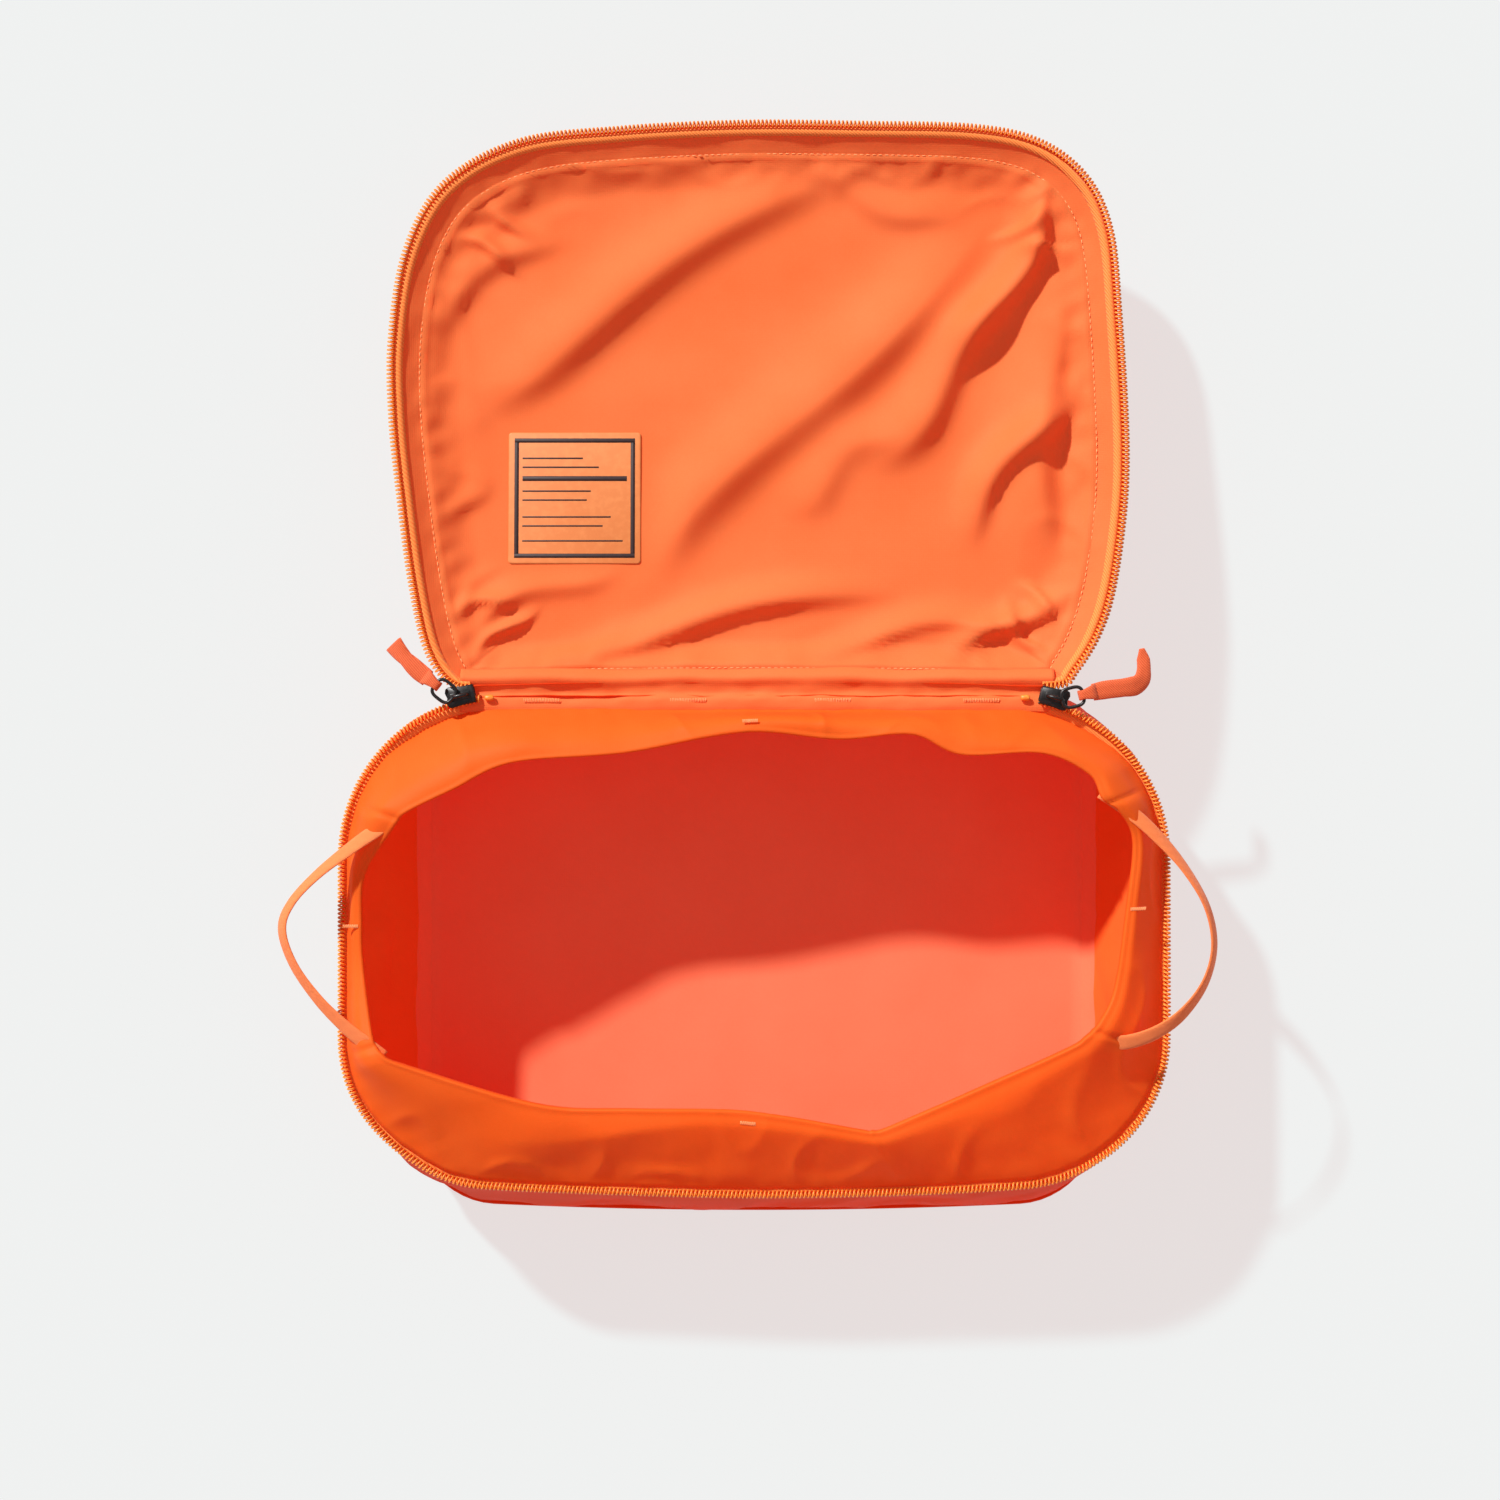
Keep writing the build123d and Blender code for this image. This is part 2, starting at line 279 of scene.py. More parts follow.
# ---------------------------------------------------------------- materials
def new_material(name):
    material = bpy.data.materials.new(name)
    material.use_nodes = True
    tree = material.node_tree
    return material, tree, tree.nodes["Principled BSDF"]


def link(tree, source, target):
    tree.links.new(source, target)


def set_inputs(node, values):
    for name, value in values.items():
        node.inputs[name].default_value = value


def noise_node(tree, coordinates, scale, detail=3.0, roughness=0.55):
    node = tree.nodes.new("ShaderNodeTexNoise")
    set_inputs(node, {"Scale": scale, "Detail": detail, "Roughness": roughness})
    link(tree, coordinates, node.inputs["Vector"])
    return node.outputs["Fac"]


def wave_node(tree, coordinates, scale, direction, distortion=0.0):
    node = tree.nodes.new("ShaderNodeTexWave")
    node.bands_direction = direction
    set_inputs(node, {"Scale": scale, "Distortion": distortion})
    link(tree, coordinates, node.inputs["Vector"])
    return node.outputs["Fac"]


def math_node(tree, operation, a, b):
    node = tree.nodes.new("ShaderNodeMath")
    node.operation = operation
    for socket, value in zip(node.inputs, (a, b)):
        if isinstance(value, (int, float)):
            socket.default_value = value
        else:
            link(tree, value, socket)
    return node.outputs[0]


def blend_node(tree, first, first_share, second, second_share):
    """A weighted sum of two values."""
    first_part = math_node(tree, "MULTIPLY", first, first_share)
    second_part = math_node(tree, "MULTIPLY", second, second_share)
    return math_node(tree, "ADD", first_part, second_part)


def ramp_node(tree, value, stops):
    node = tree.nodes.new("ShaderNodeValToRGB")
    elements = node.color_ramp.elements
    while len(elements) < len(stops):
        elements.new(0.5)
    for element, (place, color) in zip(elements, stops):
        element.position = place
        element.color = (*color, 1)
    link(tree, value, node.inputs["Fac"])
    return node.outputs["Color"]


def bump_node(tree, height, strength, distance):
    node = tree.nodes.new("ShaderNodeBump")
    set_inputs(node, {"Strength": strength, "Distance": distance})
    link(tree, height, node.inputs["Height"])
    return node.outputs["Normal"]


def let_light_through(tree, bsdf, color, share):
    """Thin cloth glows when light falls on its far side."""
    behind = tree.nodes.new("ShaderNodeBsdfTranslucent")
    behind.inputs["Color"].default_value = (*color, 1)
    mix = tree.nodes.new("ShaderNodeMixShader")
    mix.inputs["Fac"].default_value = share
    link(tree, bsdf.outputs["BSDF"], mix.inputs[1])
    link(tree, behind.outputs["BSDF"], mix.inputs[2])
    link(tree, mix.outputs["Shader"], tree.nodes["Material Output"].inputs["Surface"])


# The cloth gives off a little red, set so that its shaded side is as warm as the photograph's.
GLOW = 0.13
TURN = 6.283
# How close together the cloth's threads lie: a larger number is a finer weave.
WEAVE = 2200.0


def cloth(name, light, dark, through, share, roughness=0.6, sheen=0.12):
    """Plain-weave nylon: fine crossing threads, soft mottling and a faint sheen."""
    material, tree, bsdf = new_material(name)
    place = tree.nodes.new("ShaderNodeTexCoord").outputs["Object"]
    threads = math_node(
        tree,
        "MAXIMUM",
        wave_node(tree, place, WEAVE / TURN, "X", 0.4),
        wave_node(tree, place, WEAVE / TURN, "Y", 0.4),
    )
    mottle = noise_node(tree, place, 22.0, 4.0)
    grain = noise_node(tree, place, 900.0, 2.0)
    tone = blend_node(tree, mottle, 0.7, grain, 0.3)
    link(tree, ramp_node(tree, tone, [(0.3, dark), (0.7, light)]), bsdf.inputs["Base Color"])
    height = math_node(tree, "ADD", math_node(tree, "MULTIPLY", threads, 0.6), grain)
    link(tree, bump_node(tree, height, 0.35, 0.00025), bsdf.inputs["Normal"])
    looks = {
        "Roughness": roughness,
        "Sheen Weight": sheen,
        "Sheen Roughness": 0.4,
        "Sheen Tint": (1.0, 0.72, 0.5, 1),
        "Emission Color": (1.0, 0.02, 0.0, 1),
        "Emission Strength": GLOW,
        "Specular IOR Level": 0.12,
    }
    set_inputs(bsdf, looks)
    let_light_through(tree, bsdf, through, share)
    return material


def ribbed(name, light, dark, ribs, direction):
    """Narrow woven tape with close ribs across it."""
    material, tree, bsdf = new_material(name)
    place = tree.nodes.new("ShaderNodeTexCoord").outputs["Object"]
    rib = wave_node(tree, place, ribs / TURN, direction, 0.8)
    grain = noise_node(tree, place, 1400.0, 2.0)
    tone = blend_node(tree, rib, 0.6, grain, 0.4)
    link(tree, ramp_node(tree, tone, [(0.15, dark), (0.8, light)]), bsdf.inputs["Base Color"])
    link(tree, bump_node(tree, tone, 0.7, 0.0004), bsdf.inputs["Normal"])
    set_inputs(bsdf, {"Roughness": 0.7, "Sheen Weight": 0.15})
    set_inputs(bsdf, {"Emission Color": (1.0, 0.05, 0.0, 1), "Emission Strength": GLOW})
    let_light_through(tree, bsdf, light, 0.15)
    return material


def plastic(name, color, worn, roughness, bump=0.15, scale=600.0):
    """Moulded or painted parts with small wear and a slightly uneven gloss."""
    material, tree, bsdf = new_material(name)
    place = tree.nodes.new("ShaderNodeTexCoord").outputs["Object"]
    wear = noise_node(tree, place, scale, 4.0, 0.6)
    link(tree, ramp_node(tree, wear, [(0.45, color), (0.75, worn)]), bsdf.inputs["Base Color"])
    gloss = math_node(tree, "ADD", math_node(tree, "MULTIPLY", wear, 0.25), roughness - 0.12)
    link(tree, gloss, bsdf.inputs["Roughness"])
    link(tree, bump_node(tree, wear, bump, 0.0002), bsdf.inputs["Normal"])
    return material


# The shell cloth is partly its own deep orange and partly painted shade: it is made darker and redder than
# the lining so that the shaded front wall reads deep red.
SHELL = cloth("shell_nylon_with_painted_shade", (0.8, 0.095, 0.01), (0.74, 0.072, 0.006), (0.98, 0.045, 0.003), 0.42, 0.6, 0.06)
LINING = cloth("lining_nylon", (0.88, 0.285, 0.088), (0.85, 0.245, 0.066), (0.98, 0.04, 0.002), 0.42)
# The tub's lining takes a paler, pinker copy of the lining cloth on its floor and a more orange, more
# see-through copy on its walls.
TUB_LINING = cloth("tub_lining_nylon", (0.96, 0.34, 0.175), (0.93, 0.30, 0.150), (0.98, 0.03, 0.004), 0.42)
WALL_LINING = cloth("wall_lining_nylon", (0.93, 0.25, 0.05), (0.90, 0.21, 0.035), (0.98, 0.10, 0.0), 0.46)
COLLAR_GLOW = (0.96, 0.045, 0.001)
COLLAR = cloth("collar_nylon", (0.86, 0.215, 0.03), (0.82, 0.18, 0.018), COLLAR_GLOW, 0.48, 0.5, 0.03)
TAPE = ribbed("zipper_tape", (0.98, 0.33, 0.065), (0.86, 0.20, 0.03), 2200.0, "DIAGONAL")
COIL = plastic("zipper_coil", (0.93, 0.22, 0.02), (1.0, 0.36, 0.06), 0.42)
WEBBING = ribbed("narrow_webbing", (0.98, 0.31, 0.085), (0.82, 0.17, 0.035), 3600.0, "Y")
BACK_WEBBING = ribbed("back_webbing", (0.98, 0.31, 0.085), (0.82, 0.17, 0.035), 3600.0, "X")
PULL = ribbed("pull_webbing", (0.80, 0.16, 0.045), (0.55, 0.07, 0.015), 3000.0, "DIAGONAL")
THREAD = plastic("sewing_thread", (0.97, 0.33, 0.12), (1.0, 0.45, 0.2), 0.6)
BLACK = plastic("black_metal", (0.006, 0.004, 0.004), (0.018, 0.014, 0.014), 0.38)
LABEL = plastic("label_rubber", (0.72, 0.20, 0.05), (0.78, 0.24, 0.065), 0.55, 0.1, 300.0)
PRINT = plastic("label_print", (0.030, 0.012, 0.012), (0.05, 0.02, 0.02), 0.6)


# ---------------------------------------------------------------- tub
UP = np.array([0.0, 0.0, 1.0])
# Shares of their width for the tub and its collar, handed to on_base as keep.
CLOSED_WIDTH, COLLAR_CLOSED_WIDTH = 0.9, 0.86
COIL_Z = 79.3
RIM = dict(width=407.0, depth=238.0, back=80.0, front=70.0, centre=(-1.5, 12.0), bow=8.0)
FOOT = dict(width=344.0, depth=261.0, back=28.0, front=36.0, centre=(0.0, 1.5), bow=4.0)
RIM_HEIGHT = 78.0
RING_CENTRE = (0.0, 18.0)
HINGE_HALF = 134


def outline(width, depth, back, front, centre, bow):
    """A rounded rectangle from the middle of its back edge, round by the left, with a bowed front."""
    a, b = width / 2, depth / 2

    def line(start, end, count):
        t = np.linspace(0, 1, count, endpoint=False)[:, None]
        return np.array(start) + (np.array(end) - np.array(start)) * t

    def arc(x, y, radius, start, count=22):
        turn = np.radians(np.linspace(start, start + 90, count, endpoint=False))
        return np.column_stack([x + radius * np.cos(turn), y + radius * np.sin(turn)])

    flat = np.vstack(
        [
            line((0, b), (back - a, b), 30),
            arc(back - a, b - back, back, 90),
            line((-a, b - back), (-a, front - b), 28),
            arc(front - a, front - b, front, 180),
            line((front - a, -b), (a - front, -b), 60),
            arc(a - front, front - b, front, 270),
            line((a, front - b), (a, b - back), 28),
            arc(a - back, b - back, back, 0),
            line((a - back, b), (0, b), 30),
        ]
    )
    half = a - front * 0.5
    belly = bow * np.clip(1 - (flat[:, 0] / half) ** 2, 0, 1) * (flat[:, 1] < front - b)
    flat[:, 1] -= belly
    return np.column_stack([flat + np.array(centre), np.zeros(len(flat))])


RIM_LINE = outline(**RIM)
FOOT_LINE = outline(**FOOT)


def inward(ring):
    """Unit plan directions pointing into a closed line that runs anticlockwise."""
    step = np.roll(ring, -2, axis=0) - np.roll(ring, 2, axis=0)
    normal = np.column_stack([-step[:, 1], step[:, 0], np.zeros(len(ring))])
    return normal / np.linalg.norm(normal, axis=1)[:, None]


def tub_ring(height, inset=0.0):
    """The tub's outline at a height: it widens a little faster than its front leans in."""
    rise = np.clip(height / RIM_HEIGHT, 0, 1)
    bulge, lean = rise**0.85, rise**1.15
    ring = FOOT_LINE.copy()
    ring[:, 0] += (RIM_LINE[:, 0] - FOOT_LINE[:, 0]) * bulge
    ring[:, 1] += (RIM_LINE[:, 1] - FOOT_LINE[:, 1]) * lean
    ring[:, 2] = height
    return ring + inward(ring) * inset


def creased(ring, amount, seed, slack):
    """Moves a ring in and out by soft folds; slack is largest where nothing holds the cloth."""
    tall = ring * np.array([1.0, 1.0, 0.55])
    soft = ripple(tall, 70.0, seed) * amount * slack
    fine = ripple(ring * np.array([1.0, 1.0, 0.3]), 15.0, seed + 1) * amount * 0.22
    sharp = wrinkle(ring, 70.0, seed + 2) * amount * slack
    return ring + inward(ring) * (soft + fine - sharp)[:, None]


def rim_wave(ring, share=1.0):
    """The slack rim rises and dips a little between its corners, and sways in and out at the front."""
    sway = 1.5 * ripple(ring, 80.0, 33) * smoothstep(-ring[:, 1], 55, 95)
    lift = 1.3 * ripple(ring, 120.0, 31)
    return ring + np.column_stack([0 * lift, sway, lift]) * share


def on_base(piece, *nodes, slot, keep=CLOSED_WIDTH):
    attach(piece, "base")
    if nodes:
        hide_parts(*nodes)
    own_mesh(piece)


def chain_stretch(ring, half):
    """The stretch of a rim ring that carries the zipper, from one end of the hinge to the other."""
    keep = ~((RIM_LINE[:, 1] > 90) & (np.abs(RIM_LINE[:, 0]) < half))
    return ring[keep]


def build_tub():
    heights = [3.0, 6.0, 10.0] + list(np.linspace(15, RIM_HEIGHT - 1, 19))
    rings = [tub_ring(3.0, 5.0) * np.array([1, 1, 0]) + UP * 0.35]
    rings.append(tub_ring(3.0, 1.6) * np.array([1, 1, 0]) + UP * 0.7)
    for height in heights:
        slack = math.sin(math.pi * min(1.0, height / RIM_HEIGHT)) + 0.12
        ring = creased(tub_ring(height, 0.4), 1.7, 3, slack)
        rings.append(rim_wave(ring, smoothstep(height, 40, 76)))
    shell = surface("tub_shell", rings, SHELL, thickness=0.5)
    on_base(shell, "front_wall", "back_wall", "left_wall", "right_wall", slot="shell")

    edge = tub_ring(0.0, 4.6)
    discs = []
    for share in np.linspace(1, 0.02, 26):
        disc = edge * share
        swell = 0.5 + 0.35 * ripple(disc, 90.0, 7) * (1 - share**6)
        disc[:, 2] = swell + 0.4 * smoothstep(1 - share, 0.03, 0.2)
        discs.append(disc)
    bottom = surface("tub_bottom", discs, SHELL, thickness=0.5, capped=True)
    on_base(bottom, "bottom_panel", slot="shell")

    piping_line = tub_ring(2.2, -0.1)
    piping = tube("bottom_piping", piping_line[::2], 1.1, SHELL, 8, closed=True)
    on_base(piping, slot="shell")


def build_tub_lining():
    rings = []
    for height in np.linspace(RIM_HEIGHT - 2.5, 10, 22):
        slack = math.sin(math.pi * height / RIM_HEIGHT) + 0.05
        ring = creased(tub_ring(height, 2.6), 1.7, 3, slack)
        ring = ring + inward(ring) * (0.8 + 0.6 * ripple(ring, 40.0, 11))[:, None] * min(1.0, slack)
        rings.append(rim_wave(ring, smoothstep(height, 40, 76)))
    for turn in np.radians([25, 50, 75, 90]):
        ring = tub_ring(10.0, 3.2 + 7.0 * math.sin(turn) * 0.9)
        ring[:, 2] = 3.4 + 6.6 * (1 - math.sin(turn))
        rings.append(ring)
    edge = rings[-1]
    for share in np.linspace(0.96, 0.02, 34):
        disc = edge * np.array([share, share, 1])
        disc[:, 2] = 3.0 + 0.7 * ripple(disc, 110.0, 17) * (1 - share**8)
        rings.append(disc)
    lining = surface("tub_lining", rings, TUB_LINING, thickness=0.4, capped=True)
    lining.data.materials.append(WALL_LINING)
    # Faces higher than 9 mm, the walls, take the second, more orange copy.
    for face in lining.data.polygons:
        face.material_index = int(face.center.z > 9.0 * MM)
    on_base(lining, "wall_lining", "floor_lining", slot="lining")


def build_base_zipper():
    outer = rim_wave(tub_ring(RIM_HEIGHT, 2.2) - UP * 0.5)
    middle = rim_wave(tub_ring(RIM_HEIGHT, 4.8) - UP * 1.2)
    inner = rim_wave(tub_ring(RIM_HEIGHT, 7.6) - UP * 2.6)
    rows = [chain_stretch(ring, HINGE_HALF + 2) for ring in (outer, middle, inner)]
    tape = surface("base_tape", rows, TAPE, closed=False, thickness=0.6)
    on_base(tape, "base_zipper_tape", slot="tape")
    line = chain_stretch(rim_wave(tub_ring(RIM_HEIGHT, 1.0)), HINGE_HALF)
    line[:, 2] += COIL_Z - RIM_HEIGHT
    chain = coil("base_coil", line, UP, COIL)
    on_base(chain, "base_zipper_coil", slot="coil")


# The collar's free edge: height and plan of each place where it turns, anticlockwise from the back.
COLLAR_EDGE = [
    (-6, 114.5, 101), (-66, 104, 101.5), (-120, 99, 101.5), (-148, 86, 101), (-171, 74, 101), (-177, 67, 99),
    (-193, 44, 90),
    (-195, 18, 87), (-194, -3, 88), (-188, -34, 96), (-183, -43, 100), (-170, -50, 101), (-107, -69, 100.5),
    (-57, -71.5, 100.5),
    (-4, -73, 100.5), (50, -81.5, 101), (56, -82, 101), (70, -78, 100.5), (146, -44, 100.5),
    (160, -35, 100.5),
    (166, -29, 100), (175, -12, 97), (181, 26, 96), (184, 60, 96), (176, 75, 99), (168, 81, 100.5),
    (162, 93, 100), (139, 103.5, 100.5), (100, 103, 101),
    (76, 113, 101), (40, 111, 101),
]  # fmt: skip
COLLAR_SEAMS = [(-174, 71), (-186, -40), (163, -32), (172, 79)]
COLLAR_POINTS = 900
# Rough distance from the ring's centre to a seam.
COLLAR_REACH = 185

# The collar stands steepest towards the front right, and leans more on the other sides.
COLLAR_STANDS_TOWARDS = np.array([0.61, -0.79, 0.0])

# Where the hem is tacked at the middle of each side, and whether the tack crosses the hem.
COLLAR_TACKS = [((-3, 113), False), ((-5, -76), False), ((-197, 18), True), ((184, 26), True)]


def build_collar_tacks(edge, out):
    """Bar tacks through the hem, at the middle of each side."""
    centres, directions = [], []
    for (x, y), crosses in COLLAR_TACKS:
        k = int(np.argmin(np.hypot(edge[:, 0] - x, edge[:, 1] - y)))
        along = edge[(k + 3) % len(edge)] - edge[k - 3]
        along /= np.linalg.norm(along)
        spot = edge[k] + out[k] * 3.5 + UP * 0.6
        lengthwise, sideways = (out[k], along) if crosses else (along, out[k])
        spots, ways = bartack(spot, lengthwise, sideways, length=7.0, width=1.7, count=14)
        centres.append(spots)
        directions.append(ways)
    tacks = stitches("collar_bartacks", np.vstack(centres), np.vstack(directions), THREAD, 1.9, 0.22)
    on_base(tacks, slot="collar", keep=COLLAR_CLOSED_WIDTH)


def build_collar():
    angles = np.linspace(0, 2 * np.pi, COLLAR_POINTS, endpoint=False)
    top = polar_ring(catmull_rom(COLLAR_EDGE, 14, True), angles, RING_CENTRE)
    foot_line = rim_wave(tub_ring(RIM_HEIGHT, 3.6) + UP * 0.2)
    foot_line += inward(foot_line) * 4.6 * smoothstep(foot_line[:, 1], 95, 122)[:, None]
    foot = polar_ring(foot_line, angles, RING_CENTRE)
    out = foot - top
    out[:, 2] = 0
    out /= np.linalg.norm(out, axis=1)[:, None]
    tucked = (7.0 * smoothstep(foot[:, 1], 90, 118) - 1.5)[:, None]
    rings = [foot + out * tucked - UP * 5.0]
    upright = smoothstep(out @ COLLAR_STANDS_TOWARDS, -0.1, 0.45)
    shoulder = 0.88 - 0.24 * smoothstep(-top[:, 0], 20, 110)
    for t in np.linspace(0, 1, 19):
        ring = foot + (top - foot) * t
        steep = np.minimum(t / shoulder, 1 - 0.5 * max(0.0, 0.95 - t) ** 1.4)
        ring[:, 2] += (top - foot)[:, 2] * (steep - t) * upright
        belly = (4.6 - 3.4 * upright) * math.sin(math.pi * t**1.3)
        push = belly * (1 + 0.5 * ripple(ring, 90.0, 41)) + 1.7 * ripple(ring, 42.0, 43) * t * (1.15 - t)
        push += 0.35 * ripple(ring * np.array([1, 1, 0.2]), 8.0, 47) * (1 - t) ** 2
        push += 2.4 * (wrinkle(ring, 60.0, 49) - 0.4) * smoothstep(t, 0.0, 0.35) * (1.1 - t)
        for x, y in COLLAR_SEAMS:
            seam = math.atan2(y - RING_CENTRE[1], x - RING_CENTRE[0])
            away = (angles - seam + np.pi) % (2 * np.pi) - np.pi
            near = np.abs(away) * COLLAR_REACH
            push += (3.6 * np.exp(-near / 12.0) - 3.0 * np.exp(-near / 1.6)) * smoothstep(t, 0.02, 0.5)
        rings.append(ring + (out * 0.3 + UP * 0.95) * push[:, None])
    edge = rings[-1]
    rings.append(edge - out * 0.9 + UP * 0.5)
    rings.append(edge - out * 1.9 + UP * 0.1)
    for drop in (3.0, 7.0, 11.0, 12.5):
        rings.append(edge - out * (2.3 - drop * 0.12) - UP * drop)
    collar = surface("collar", rings, COLLAR, thickness=0.4)
    build_collar_tacks(edge, out)
    panels = [f"collar_{side}" for side in ("front", "back", "left", "right")]
    on_base(collar, *panels, slot="collar", keep=COLLAR_CLOSED_WIDTH)


def build_back_webbing():
    """A flat strap across the back wall under the hinge, a little puffed between its tacked places."""
    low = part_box("back_webbing")[0]
    x = np.linspace(-130, 130, 90)
    rings = []
    for z, out in ((54.2, 0.2), (54.6, 0.9), (64, 1.15), (73.4, 0.9), (73.8, 0.2)):
        y = low[1] / MM + out + 0.5 * np.abs(np.sin(x / 36 * np.pi)) * (out > 0.5)
        rings.append(np.column_stack([x, y, np.full_like(x, z)]))
    webbing = surface("back_webbing_strap", rings, BACK_WEBBING, closed=False, thickness=0.8)
    on_base(webbing, "back_webbing", slot="webbing")


def build_end_stops():
    for word, side in (("left", -1), ("right", 1)):
        low, high = (np.array(corner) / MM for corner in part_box(f"{word}_end_stop"))
        centre = (low + high) / 2
        path = centre + np.outer(np.linspace(-2.2, 2.2, 7), [1, 0, 0])
        sizes = 1.5 * np.sin(np.linspace(0.5, math.pi - 0.5, 7)) ** 0.5
        stop = tube(f"{word}_stop", path, sizes, COIL, 12)
        on_base(stop, f"{word}_end_stop", slot="slider")


# ---------------------------------------------------------------- lid
# The zipper's line round the lid, as distances across and away from the hinge.
LID_LINE = [
    (0, 5.5), (-90, 5), (-132, 4), (-150, 5), (-163, 22), (-171, 55), (-177, 97), (-181.5, 138), (-182, 178),
    (-175, 222), (-156, 256), (-119, 277), (-68, 283.5), (-8, 286.5), (52, 286), (108, 284.5), (141, 277),
    (164, 259), (176, 232), (180, 190), (183, 125), (180.5, 82), (172.5, 40), (158, 13), (145, 4), (90, 5),
]  # fmt: skip
LID_CENTRE = 143.0
STITCH_INSET, STITCH_LEVEL = 14.5, -8.6
LINING_LEVEL = -18.4
PANEL_INSET = 17.5
LABEL_CENTRE, LABEL_HALF = (-91.0, 100.0), 33.0

# Soft folds of the lining: two ends of each ridge, its half-width and its height.
FOLDS = [
    (-124, 157, 22, 258, 15, 6.0),
    (-40, 78, 91, 212, 18, 6.5),
    (70, 128, 120, 190, 13, 6.0),
    (112, 180, 150, 256, 9, 8.0),
    (141, 80, 150, 205, 15, 6.0),
    (110, 92, 152, 150, 9, 6.5),
    (-168, 186, -112, 228, 9, 3.5),
    (-150, 245, -80, 266, 7, 3.0),
    (30, 262, 90, 240, 10, 2.5),
    (-135, 40, -75, 68, 9, 4.5),
    (-112, 14, 35, 50, 8, 5.0),
    (20, 22, 110, 36, 7, 3.5),
    (105, 22, 165, 62, 6, 5.0),
    (-158, 32, -140, 14, 4, 4.0),
    (-160, 78, -138, 110, 7, 2.5),
    (135, 262, 158, 238, 4, 4.5),
    (20, 100, 60, 130, 14, 2.5),
    (-168, 232, -126, 220, 4, 3.5),
    (-140, 268, -120, 234, 4, 3.5),
    (158, 262, 126, 234, 4, 4.0),
    (172, 236, 138, 222, 4, 3.5),
    (-162, 34, -128, 48, 4, 4.0),
    (-142, 12, -118, 42, 4, 3.5),
    (166, 36, 134, 50, 4, 4.0),
    (152, 12, 126, 42, 4, 3.5),
]


def lid_point(across, along, up):
    """Places points given across, along and above the lid's zipper plane."""
    across, along, up = np.broadcast_arrays(across, along, up)
    return HINGE + np.outer(across, [1, 0, 0]) + np.outer(along, LID_ALONG) + np.outer(up, LID_UP)


LID_CURVE = catmull_rom([(x, v, 0) for x, v in LID_LINE], 16, True)
LID_INWARD = -inward(LID_CURVE)
LID_INWARD[:, 1] *= np.where((LID_INWARD[:, 1] > 0) & (LID_CURVE[:, 1] < 30), 0.6, 1.0)


def lid_inset(amount):
    """The lid's outline moved in; the hinge side moves in less, because its side band is steeper."""
    moved = smooth_loop(LID_CURVE + LID_INWARD * amount, int(amount * 0.5))
    return moved[:, 0], moved[:, 1]


def lid_disc(amount, t):
    """The outline moved in, then drawn towards the lid's middle by a share t."""
    x, v = lid_inset(amount)
    return x * (1 - t), LID_CENTRE + (v - LID_CENTRE) * (1 - t)


def lid_ring(amount, level):
    x, v = lid_inset(amount)
    return lid_point(x, v, level)


def on_lid(piece, *nodes, slot):
    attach(piece, "lid")
    if nodes:
        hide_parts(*nodes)
    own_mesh(piece)


def fold_height(x, v):
    """Height of the lining's folds at a place on the lid."""
    place = np.column_stack([x, v])
    total = np.zeros(len(x))
    for x1, v1, x2, v2, width, height in FOLDS:
        start, run = np.array([x1, v1]), np.array([x2 - x1, v2 - v1])
        length = np.hypot(*run)
        along = (place - start) @ run / length**2
        bend = 5.0 * np.sin(along * 5.0 + x1)
        across = ((place - start) @ np.array([-run[1], run[0]])) / length + bend
        fade = smoothstep(along, -0.3, 0.25) * (1 - smoothstep(along, 0.75, 1.3))
        width = np.where(across < 0, 0.6 * width, 1.25 * width)
        total += height * fade * np.exp(-((across / width) ** 2))
    total = total * 1.5 + 1.5 * ripple(np.column_stack([x, v, 0 * x]), 75.0, 53)
    label = np.maximum(np.abs(x - LABEL_CENTRE[0]), np.abs(v - LABEL_CENTRE[1]))
    return total * (0.12 + 0.88 * smoothstep(label, LABEL_HALF, LABEL_HALF + 26))


def build_lid_lining():
    rings = [lid_ring(a, z) for a, z in ((6.0, -3.3), (7.2, -4.0), (9.0, -5.3), (11.0, -6.8))]
    edge_profile = ((12.8, -7.9), (13.8, -8.4), (STITCH_INSET, STITCH_LEVEL - 0.3), (15.2, -8.3))
    rings += [lid_ring(a, z) for a, z in edge_profile]
    for i, ring in enumerate(rings):
        pucker = 0.5 * ripple(ring, 9.0, 61) * (i / len(rings)) + 0.7 * ripple(ring, 34.0, 63)
        rings[i] = ring + np.outer(pucker * min(1, i / 3), LID_UP)
    for t in np.linspace(0, 1, 64)[1:]:
        x, v = lid_disc(15.2, t * 0.99)
        inside = t * LID_CENTRE
        level = -8.3 + (LINING_LEVEL + 8.3) * smoothstep(inside, -5, 17)
        flat = np.column_stack([x, v, 0 * x])
        edge = 1 - smoothstep(inside, 4, 34)
        pucker = 0.9 * ripple(flat, 13.0, 67) * (1 - smoothstep(inside, 2, 18))
        pucker += 1.7 * wrinkle(flat, 38.0, 69) * edge
        lift = fold_height(x, v) * smoothstep(inside, 0, 16)
        rings.append(lid_point(x, v, level + lift + pucker))
    lining = surface("lid_inside", rings, LINING, thickness=0.4, capped=True)
    on_lid(lining, "lid_lining", "lid_gusset_lining", slot="lining")

    seam = lid_ring(STITCH_INSET, STITCH_LEVEL)
    centres, directions = stitch_line(np.vstack([seam, seam[:1]]), 3.1, (0, 0, 0.35))
    thread = stitches("lid_stitching", centres, directions, THREAD, length=2.1, radius=0.24)
    on_lid(thread, slot="lining")


